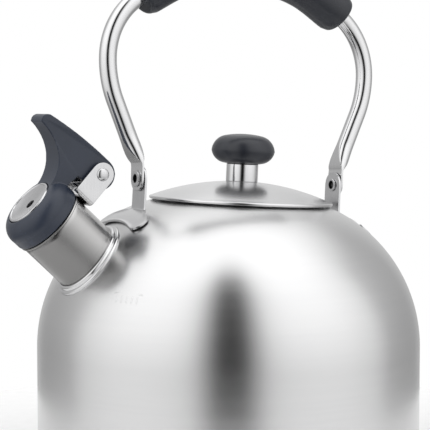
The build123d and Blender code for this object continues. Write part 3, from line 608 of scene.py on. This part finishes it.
def tube_section(place, heading, mirror):
    """Ring of the handle: a round tube whose ends are pressed flat between two jaws."""
    t = (place - bend).dot(lean_dir) if place.y > BEND_H else place.y - BEND_H
    u = min(1.0, max(0.0, t / PRESS_RUN)) if place.y < BEND_H + 40 else 1.0
    half_w = FLAT_HALF + (TUBE_R - FLAT_HALF) * smooth_step(u)
    facet = PRESSED * (1 - u ** 1.3)
    clip = TUBE_R * sqrt(1 - facet * facet)
    if place.y < 0:
        half_w = sqrt(max(0.0, FLAT_HALF ** 2 - place.y ** 2))
        past = (END_ROUND - FLAT_HALF - place.y) / END_ROUND
        if past > 0:
            clip *= sqrt(max(0.0, 1 - past ** 2)) * 0.75 + 0.25
    out = Vector((sin(heading), -cos(heading)))
    points = []
    for k in range(72):
        f = TURN * k / 72
        off = min(clip, max(-clip, TUBE_R * sin(f)))
        spot = place + out * off
        points.append((spot.x * mirror, half_w * cos(f), spot.y))
    return points


rows = [tube_section(p, h, 1) for p, h in half_path]
rows += [tube_section(p, h, -1) for p, h in half_path[-2::-1]]
tube_shape = skin(rows)
tube_shape[1].append(tuple(range(72)))
tube_shape[1].append(tuple(range(len(tube_shape[0]) - 72, len(tube_shape[0]))))
handle_tube = add_mesh("handle_tube_skin", tube_shape, SWUNG)
across_handle = axes(HANDLE_PLACE, TILT_Z, TILT_X)
PIVOT_HOLE_R, PIVOT_DRILL = 3.05, 90.0
rivet_hole = drill("rivet_hole", PIVOT_HOLE_R, PIVOT_DRILL, across_handle)
combine(handle_tube, "DIFFERENCE", rivet_hole, sharp=30.0)
finish_piece(handle_tube, "handle", "polished_steel", POLISHED_STEEL, "handle_tube")

GRIP_HALF = radians(35.0) * TOP_R


def grip_radius(a):
    """Radius of the grip at a mm along it from its middle."""
    angle = abs(a) / TOP_R / radians(1)
    if angle < 18:
        return 11.0 + 0.3 * smooth_step(angle / 18)
    if angle < 31:
        return 11.3 + 1.3 * smooth_step((angle - 18) / 13)
    return 12.6 - ((angle - 31) / 4) ** 2


GRIP_FILLET = 3.0
grip_outline = [(-GRIP_HALF, 4.97), (-GRIP_HALF, 7.2)]
fillet_centre = (GRIP_HALF - GRIP_FILLET, grip_radius(GRIP_HALF) - GRIP_FILLET)
grip_outline += [(-x, y) for x, y in arc_points(fillet_centre, GRIP_FILLET, 0, 84, 8)]
grip_outline += [(a, grip_radius(a)) for a in
                 ((GRIP_HALF - GRIP_FILLET) * (k / 30 - 1) for k in range(1, 60))]
grip_outline += [(-a, r) for a, r in grip_outline[9:0:-1]] + [(GRIP_HALF, 7.2), (GRIP_HALF, 4.97)]
grip_outline += [(GRIP_HALF * (1 - k / 20), 4.97) for k in range(1, 40)]
grip_rows = []
for a, r in grip_outline:
    turn = a / TOP_R
    out = Vector((sin(turn), cos(turn)))
    spot = TOP_CENTRE + out * TOP_R
    row = []
    for k in range(72):
        f = TURN * k / 72
        rim = spot + out * (r * cos(f))
        row.append((rim.x, r * sin(f), rim.y))
    grip_rows.append(row)
grip = add_mesh("handle_grip_skin", skin(grip_rows, loop=True), SWUNG)
finish_piece(grip, "handle", "dark_plastic", DARK_PLASTIC, "handle_grip")

# ---------------------------------------------------------------- brackets and rivets
STRIP_X, STRIP_T, STRIP_HALF = 63.8, 1.5, 7.5
FOOT_T = 1.2


def coons(first, last, left, right):
    """Sheet of (x, y) points between four edges.

    first and last run across it, left and right run from first to last.
    """
    rows = []
    for j, (a, b) in enumerate(zip(left, right)):
        w = j / (len(left) - 1)
        row = []
        for i, (c, d) in enumerate(zip(first, last)):
            u = i / (len(first) - 1)
            point = [(1 - w) * c[k] + w * d[k] + (1 - u) * a[k] + u * b[k]
                     - (1 - w) * ((1 - u) * first[0][k] + u * first[-1][k])
                     - w * ((1 - u) * last[0][k] + u * last[-1][k]) for k in (0, 1)]
            row.append(point)
        rows.append(row)
    return rows


def resample(points, count):
    """Points evenly spaced along a polyline."""
    lengths = [0.0]
    for a, b in zip(points, points[1:]):
        lengths.append(lengths[-1] + hypot(b[0] - a[0], b[1] - a[1]))
    found, k = [], 0
    for j in range(count):
        target = lengths[-1] * j / (count - 1)
        while k < len(points) - 2 and lengths[k + 1] < target:
            k += 1
        share = (target - lengths[k]) / max(1e-9, lengths[k + 1] - lengths[k])
        found.append(tuple(points[k][i] + (points[k + 1][i] - points[k][i]) * share for i in (0, 1)))
    return found


ACROSS = 37
lobe = [(0.0, 7.5), (1.0, 9.0)] + arc_points((9.6, 18.5), 5.2, 144, 12, 16)
lobe = resample([(x, y) for x, y in lobe], 28)
waist_half = [lobe[-1], (14.4, 17.0), (13.7, 13.2), (13.0, 8.6), (12.7, 4.2), (12.6, 0.0)]
waist = resample([(x, -y) for x, y in waist_half] + [(x, y) for x, y in waist_half[-2::-1]], ACROSS)
root = [(0.0, 7.5 * (2 * k / (ACROSS - 1) - 1)) for k in range(ACROSS)]
foot_plan = coons(root, waist, [(x, -y) for x, y in lobe], lobe)


RIM_CURL = 0.7              # the foot's rim stands this much higher than its middle
STRIP_LEAN = 0.95           # the tilt carries the strip's lower end this far towards the spout


def bracket(name, side, node_name):
    """Strip that carries the handle, with the winged foot that lies on the dome."""
    frame_x, frame_z = TILT_X * side, TILT_Z
    middle = Vector(HANDLE_PLACE) + frame_x * (STRIP_X + STRIP_T / 2)
    foot_root = Vector((HANDLE_PLACE[0] + side * (STRIP_X + STRIP_T / 2) - STRIP_LEAN, 0))
    rows = []
    foot_rows = []
    for j, plan in enumerate(foot_plan):
        row = []
        for i, (out, y) in enumerate(plan):
            x = foot_root.x + side * out
            inside = min(1 - j / (len(foot_plan) - 1), i / (ACROSS - 1), 1 - i / (ACROSS - 1))
            curl = RIM_CURL * smooth_step(1 - inside / 0.16) * smooth_step(j / 6)
            row.append(Vector((x, y, dome_height(x, y, FOOT_T / 2 + 0.06 + curl))))
        foot_rows.append(row)
    for z in (7.49, 7.3, 6.9, 6.2, 5.2, 3.9, 2.3, 0.0, -3.0, -6.0):
        half = sqrt(max(0.0, STRIP_HALF ** 2 - max(0.0, z) ** 2))
        spots = [half * (2 * k / (ACROSS - 1) - 1) for k in range(ACROSS)]
        rows.append([middle + frame_z * z + Vector((0, y, 0)) for y in spots])
    steps = 16
    top = rows[-1]
    for k in range(1, steps):
        share = k / steps
        rows.append([a.lerp(b, share) for a, b in zip(top, foot_rows[0])])
    rows += foot_rows
    for _ in range(2):      # bends the sheet round at the foot of the strip
        low = 10 + steps - 4
        smooth = [row[:] for row in rows]
        for j in range(low, low + 8):
            smooth[j] = [(a + 2 * b + c) / 4 for a, b, c in zip(rows[j - 1], rows[j], rows[j + 1])]
        rows = smooth
    for row in rows[10:]:
        for p in row:
            gap = dome_gap(p)
            if gap < FOOT_T / 2 + 0.06 and p.z > SHOULDER_Z:
                p.z = dome_height(p.x, p.y, FOOT_T / 2 + 0.06)
    piece = add_mesh(name, patch(rows))
    thick = piece.modifiers.new("thick", "SOLIDIFY")
    thick.thickness, thick.offset, thick.use_even_offset = FOOT_T * MM, 0.0, True
    edge = piece.modifiers.new("edge", "BEVEL")
    edge.width, edge.segments, edge.limit_method, edge.angle_limit = 0.35 * MM, 3, "ANGLE", radians(50)
    settle(piece)
    hole = drill("strip_hole", PIVOT_HOLE_R, PIVOT_DRILL, across_handle)
    combine(piece, "DIFFERENCE", hole)
    return finish_piece(piece, "kettle", "satin_steel", SATIN_STEEL, node_name)


def pivot_rivet(name, side, node_name):
    """Hollow rivet with a rolled flange outside and a rolled edge inside."""
    place = axes(HANDLE_PLACE, TILT_Z, TILT_X * side)
    outline = rounded([(2.3, 62.9, 0.3), (3.75, 62.9, 0.35), (3.75, 63.78, 0.2), (3.0, 63.78, 0),
                       (3.0, 66.99, 0), (4.75, 66.99, 0.2), (4.75, 67.97, 0.42), (2.3, 67.97, 0.4)], 6)
    piece = add_mesh(name, turned(outline, 64), place, own_axes=True)
    return finish_piece(piece, "kettle", "hardware_steel", RIVET_STEEL, node_name)


bracket("front_bracket_sheet", -1, "front_bracket")
bracket("rear_bracket_sheet", 1, "rear_bracket")
pivot_rivet("front_rivet_skin", -1, "front_rivet")
pivot_rivet("rear_rivet_skin", 1, "rear_rivet")

# ---------------------------------------------------------------- whistle
PIN_S, PIN_H, KNUCKLE_R, PIN_HOLE_R = -3.1, 36.8, 8.7, 2.1
SIDE_VIEW = axes(MOUTH_PLACE, SPOUT_OUT, SPOUT_UP)  # x runs out along the spout, z is up across it


def lever_half(s):
    """Half width of the lever at s along the spout, narrower towards its thumb end."""
    return 9.0 - 1.5 * smooth_step((s - 16.0) / 26.5)


lever_outline = [(9.0, 13.0), (7.4, 19.5), (6.2, 27.2)]
knuckle_foot, knuckle_top = (PIN_S, PIN_H - KNUCKLE_R), (PIN_S, PIN_H + KNUCKLE_R)
lever_outline += arc_through(knuckle_foot, (PIN_S - KNUCKLE_R, PIN_H), knuckle_top, 24)
lever_outline += arc_through(knuckle_top, (18.5, 44.4), (38.6, 41.6), 24)[1:]
lever_outline += arc_through((38.6, 41.6), (42.0, 39.2), (41.3, 35.0), 8)[1:]
lever_outline += arc_through((41.3, 35.0), (36.5, 34.6), (31.0, 33.2), 6)[1:]
lever_outline += arc_through((31.0, 33.2), (20.6, 26.4), (15.0, 13.0), 14)[1:]
lever = add_mesh("whistle_lever_skin", prism(lever_outline, lever_half), SIDE_VIEW)
cap_outline = [(0, 0.42)] + rounded([(0, 0.42, 0), (20.9, 0.42, 1.0), (20.9, 5.5, 0)], 5, closed=False)[1:]
cap_outline += arc_through((20.9, 5.5), (19.0, 12.5), (15.0, 15.2), 14)[1:]
cap_outline += [(14.25, 15.15), (14.2, 13.4), (0, 13.4)]
cap = add_mesh("cap", turned(cap_outline, 128, loop=False), MOUTH)
recess = add_mesh("recess", turned([(0, 13.4), (14.2, 13.4), (14.2, 30), (0, 30)], 96, loop=False), MOUTH)
pocket_outline = arc_points((PIN_S, PIN_H), 4.6, 0, 180, 20) + [(-7.7, 20.9), (6.2, 21.4), (6.2, 27.0)]
pocket = add_mesh("pocket", prism(pocket_outline, lambda s: 4.3), SIDE_VIEW)
combine(lever, "UNION", cap)
combine(lever, "DIFFERENCE", recess, pocket)
remesh = lever.modifiers.new("remesh", "REMESH")
remesh.mode, remesh.voxel_size, remesh.use_smooth_shade = "VOXEL", 0.32 * MM, True
soften = lever.modifiers.new("soften", "SMOOTH")
soften.factor, soften.iterations = 0.5, 3
settle(lever, sharp=60.0)
bore = add_mesh("bore", turned([(0, -5), (11.42, -5), (11.42, 30), (0, 30)], 96, loop=False), MOUTH)
across_pin = axes(to_world(SIDE_VIEW, (PIN_S, 0, PIN_H)), (1, 0, 0), (0, 1, 0))
pin_hole = drill("pin_hole", PIN_HOLE_R, 20.0, across_pin, 40)
combine(lever, "DIFFERENCE", bore, pin_hole, sharp=50.0)
finish_piece(lever, "whistle", "dark_plastic", LEVER_PLASTIC, "whistle_lever")

# The disc is 0.9 mm wider in radius than the CAD's, and its recess in the lever as well.
BLOW_R, BOWL_R, FACE_R = 2.75, 12.3, 13.9
bowl_radii = [BLOW_R + (BOWL_R - BLOW_R) * k / 12 for k in range(13)]
bowl = [(r, 13.75 + 1.55 * (r / BOWL_R) ** 2) for r in bowl_radii]
face_outline = bowl + rounded([(BOWL_R, 15.3, 0), (12.6, 15.75, 0.3), (13.6, 15.65, 0.5), (FACE_R, 14.7, 0.3),
                               (FACE_R, 13.45, 0)], 5, closed=False)[1:] + [(BLOW_R, 13.45)]
face = add_mesh("whistle_face_skin", turned(face_outline, 128), MOUTH, own_axes=True)
finish_piece(face, "whistle", "satin_steel", WHISTLE_STEEL, "whistle_face")

cup_outline = rounded([(10.8, -3.0, 0.2), (11.4, -3.0, 0.2), (11.4, -0.3, 0), (17.5, -0.3, 0.2),
                       (17.5, 0.4, 0.2), (11.4, 0.4, 0), (11.4, 13.4, 0), (10.8, 13.4, 0)], 4)
cup = add_mesh("whistle_cup_skin", turned(cup_outline, 96), MOUTH, own_axes=True)
finish_piece(cup, "whistle", "satin_steel", WHISTLE_STEEL, "whistle_cup")

# ---------------------------------------------------------------- hinge
EAR_Y, EAR_T, EAR_HALF = 12.0, 1.0, 6.5
CHANNEL_H, CHANNEL_MOUTH = SPOUT_R + 0.03, -1.8


def ear_span(h):
    """Range of the hinge sheet along the spout at a height across it."""
    if h <= PIN_H:
        return PIN_S - EAR_HALF, PIN_S + EAR_HALF
    half = sqrt(max(0.0, EAR_HALF ** 2 - (h - PIN_H) ** 2))
    return PIN_S - half, PIN_S + half


def hinge_shape():
    """Folded channel: a floor on the spout, two bends and two round-topped ears."""
    mid_y, mid_h = EAR_Y - EAR_T / 2, CHANNEL_H + EAR_T / 2
    bend_r = 1.7
    half = [(y, mid_h, CHANNEL_MOUTH) for y in (0.0, 5.0, 9.75)] + [(9.8, mid_h, None)]
    for k in range(7):
        t = radians(90 * k / 6)
        half.append((mid_y - bend_r + bend_r * sin(t), mid_h + bend_r - bend_r * cos(t), None))
    half += [(mid_y, mid_h + bend_r + (PIN_H - mid_h - bend_r) * k / 6, None) for k in range(1, 7)]
    for t in (8, 17, 26, 35, 44, 53, 62, 70, 78, 84, 88, 89.7):
        half.append((mid_y, PIN_H + EAR_HALF * sin(radians(t)), None))
    path = [(-y, h, end) for y, h, end in half[:0:-1]] + half
    rows = []
    for y, h, end in path:
        back, front = ear_span(h)
        front = end if end is not None else front
        rows.append([(back + (front - back) * k / 12, y, h) for k in range(13)])
    return patch(rows)


hinge = add_mesh("hinge_sheet", hinge_shape(), SIDE_VIEW)
thick = hinge.modifiers.new("thick", "SOLIDIFY")
thick.thickness, thick.offset, thick.use_even_offset = EAR_T * MM, 0.0, True
edge = hinge.modifiers.new("edge", "BEVEL")
edge.width, edge.segments, edge.limit_method, edge.angle_limit = 0.22 * MM, 3, "ANGLE", radians(50)
settle(hinge)
finish_piece(hinge, "kettle", "satin_steel", SATIN_STEEL, "hinge_bracket")

head = [(0.0, 13.7)] + [(3.6 * sin(radians(t)), 12.02 + 1.68 * cos(radians(t))) for t in range(10, 90, 10)]
head += [(3.6, 12.02), (2.0, 12.02)]
rivet_outline = head + [(r, -y) for r, y in head[::-1]]
hinge_rivet = add_mesh("hinge_rivet_skin", turned(rivet_outline, 64, loop=False), across_pin)
finish_piece(hinge_rivet, "kettle", "hardware_steel", HARDWARE_STEEL, "hinge_rivet")

COIL_R, WIRE_R, COIL_TURNS, COIL_PITCH = 3.4, 0.55, 6, 1.12
WIRE_SIDES, COIL_STEPS, FIXED_LEG_H = 12, 180, 21.5


def wire(path):
    """Round wire along a path of points."""
    rows = []
    side = Vector((0, 1, 0))
    for k, here in enumerate(path):
        run = (path[min(k + 1, len(path) - 1)] - path[max(k - 1, 0)]).normalized()
        across = run.cross(side).normalized()
        up = across.cross(run).normalized()
        turns = [TURN * j / WIRE_SIDES for j in range(WIRE_SIDES)]
        rows.append([here + (across * cos(t) + up * sin(t)) * WIRE_R for t in turns])
    points, faces = skin(rows)
    faces += [tuple(range(WIRE_SIDES)), tuple(range(len(points) - WIRE_SIDES, len(points)))]
    return points, faces


coil_end_y = COIL_PITCH * (COIL_TURNS - 1) / 2
leg_target = Vector((5.4, 23.5))
to_leg = leg_target - Vector((PIN_S, PIN_H))
leg_turn = atan2(to_leg.y, to_leg.x) - acos(COIL_R / to_leg.length)
# The path begins with the fixed leg on the bracket, as in the CAD; the opened lever still passes through it.
leg_heights = [FIXED_LEG_H + (PIN_H - FIXED_LEG_H) * k / 12 for k in range(12)]
coil_path = [Vector((PIN_S - COIL_R, -coil_end_y, h)) for h in leg_heights]
coil_sweep = TURN * (COIL_TURNS - 1) + (leg_turn - pi) % TURN
for k in range(COIL_STEPS + 1):
    t = pi + coil_sweep * k / COIL_STEPS
    y = -coil_end_y + 2 * coil_end_y * k / COIL_STEPS
    coil_path.append(Vector((PIN_S + COIL_R * cos(t), y, PIN_H + COIL_R * sin(t))))
spring = add_mesh("spring_coil", wire(coil_path), SIDE_VIEW)
finish_piece(spring, "kettle", "hardware_steel", HARDWARE_STEEL, "torsion_spring")
leg_path = [Vector((PIN_S + COIL_R * cos(leg_turn), coil_end_y, PIN_H + COIL_R * sin(leg_turn)))]
leg_end = Vector((leg_target.x, coil_end_y, leg_target.y))
leg_path = [leg_path[0].lerp(leg_end, k / 6) for k in range(7)]
spring_leg = add_mesh("spring_leg", wire(leg_path), SIDE_VIEW)
finish_piece(spring_leg, "whistle", "hardware_steel", HARDWARE_STEEL)

# ---------------------------------------------------------------- CAD nodes that stay in view
KEPT_NODES = {
    "neck_ring": LID_STEEL,
    "base_core": ALUMINIUM,
    "lid_skirt": LID_STEEL,
    "knob_washer": HARDWARE_STEEL,
    "knob_screw": HARDWARE_STEEL,
    "front_washer": HARDWARE_STEEL,
    "rear_washer": HARDWARE_STEEL,
    "whistle_inner_disc": WHISTLE_STEEL,
}
for name, finish in KEPT_NODES.items():
    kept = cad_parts[name]
    kept.data.materials.clear()
    kept.data.materials.append(finish)

# ---------------------------------------------------------------- camera
FOCAL_PX, FRAME_PX, SENSOR_MM = 1537.0, 430.0, 36.0
CAMERA_DISTANCE, CAMERA_HEIGHT = 0.882, 0.2066
SIGHT_LEFT, SIGHT_DROP = 0.00872, 0.0748            # slopes of the line of sight, to the left and down
forward = Vector((0.5, sqrt(0.75), 0))
right = Vector((forward.y, -forward.x, 0))
sight = (forward - right * SIGHT_LEFT - Vector((0, 0, SIGHT_DROP))).normalized()
camera = bpy.data.objects.new("camera", bpy.data.cameras.new("camera"))
camera.data.sensor_width = SENSOR_MM
camera.data.lens = SENSOR_MM * FOCAL_PX / FRAME_PX
camera.location = -forward * CAMERA_DISTANCE + Vector((0, 0, CAMERA_HEIGHT))
camera.rotation_mode = "QUATERNION"
camera.rotation_quaternion = sight.to_track_quat("-Z", "Y")
bpy.context.scene.collection.objects.link(camera)
bpy.context.scene.camera = camera

# ---------------------------------------------------------------- floor
FLOOR_R, FLOOR_EDGE, FLOOR_GAP, FLOOR_DEPTH = 260.0, 3.0, 0.05, 12.0
flat_r = FLOOR_R - FLOOR_EDGE
floor_outline = [(0, -FLOOR_GAP), (flat_r, -FLOOR_GAP)]
floor_outline += arc_points((flat_r, -FLOOR_GAP - FLOOR_EDGE), FLOOR_EDGE, 90, 0, 6)
floor_outline += [(FLOOR_R, -FLOOR_DEPTH), (0, -FLOOR_DEPTH)]
floor = add_mesh("floor", turned(floor_outline, 160, loop=False))
paper, tree, shader, place = material("floor_paper", Roughness=0.7, Specular_IOR_Level=0.2)
fibres = ramp(tree, noise(tree, place, 120.0, 4.0), [(0.3, 0.82), (0.7, 0.85)])
tree.links.new(fibres, shader.inputs["Base Color"])
floor.data.materials.append(paper)

# ---------------------------------------------------------------- light
DARK_AZIMUTH = radians(61.5)        # the light panels leave a dark gap on the side opposite to this
CEILING_LEVEL = 1.75
world = bpy.data.worlds.new("studio")
world.use_nodes = True
bpy.context.scene.world = world
tree = world.node_tree
backdrop = tree.nodes["Background"]
direction = tree.nodes.new("ShaderNodeTexCoord").outputs["Generated"]
height = node(tree, "ShaderNodeSeparateXYZ", {"Vector": direction}).outputs["Z"]
level = scaled(tree, direction, (1, 1, 0))
level = node(tree, "ShaderNodeVectorMath", {0: level}, operation="NORMALIZE").outputs["Vector"]
front = (-cos(DARK_AZIMUTH), -sin(DARK_AZIMUTH), 0)
aim = node(tree, "ShaderNodeVectorMath", {0: level, 1: front}, operation="DOT_PRODUCT").outputs["Value"]
turn = node(tree, "ShaderNodeMath", {0: aim}, operation="ARCCOSINE", use_clamp=False).outputs["Value"]
turn = node(tree, "ShaderNodeMath", {0: turn, 1: 1 / pi}, operation="MULTIPLY").outputs["Value"]
panels = ramp(tree, turn, [(0.0, 0.0), (0.045, 0.01), (0.085, 0.32), (0.13, 0.64), (0.20, 0.74), (0.30, 0.77),
                           (0.40, 0.76), (0.52, 0.64), (0.60, 0.38), (0.70, 0.32), (0.80, 0.30), (0.90, 0.40),
                           (1.0, 0.52)])
lift = node(tree, "ShaderNodeMapRange", {"Value": height, "From Min": -0.15, "From Max": 0.5,
                                         "To Min": 1.45, "To Max": 2.0}).outputs["Result"]
under = node(tree, "ShaderNodeMapRange", {"Value": height, "From Min": -0.6, "From Max": -0.2,
                                          "To Min": 0.5, "To Max": 1.0}).outputs["Result"]
lift = node(tree, "ShaderNodeMath", {0: lift, 1: under}, operation="MULTIPLY").outputs["Value"]
panels = node(tree, "ShaderNodeMath", {0: panels, 1: lift}, operation="MULTIPLY").outputs["Value"]
ceiling_edge = ramp(tree, turn, [(0.08, 0.84), (0.22, 0.55), (1.0, 0.5)])
ceiling = node(tree, "ShaderNodeMapRange", {"Value": height, "From Min": ceiling_edge, "From Max": 1.0,
                                            "To Min": 0.0, "To Max": 1.0}, interpolation_type="SMOOTHSTEP")
glow = node(tree, "ShaderNodeMix", {"Factor": ceiling.outputs["Result"], "A": panels, "B": CEILING_LEVEL})
glow = glow.outputs["Result"]
seen = tree.nodes.new("ShaderNodeLightPath").outputs["Is Camera Ray"]
glow = node(tree, "ShaderNodeMix", {"Factor": seen, "A": glow, "B": 1.0}).outputs["Result"]
tree.links.new(glow, backdrop.inputs["Strength"])
backdrop.inputs["Color"].default_value = (1, 1, 1, 1)
bpy.context.scene.view_settings.view_transform = "Standard"
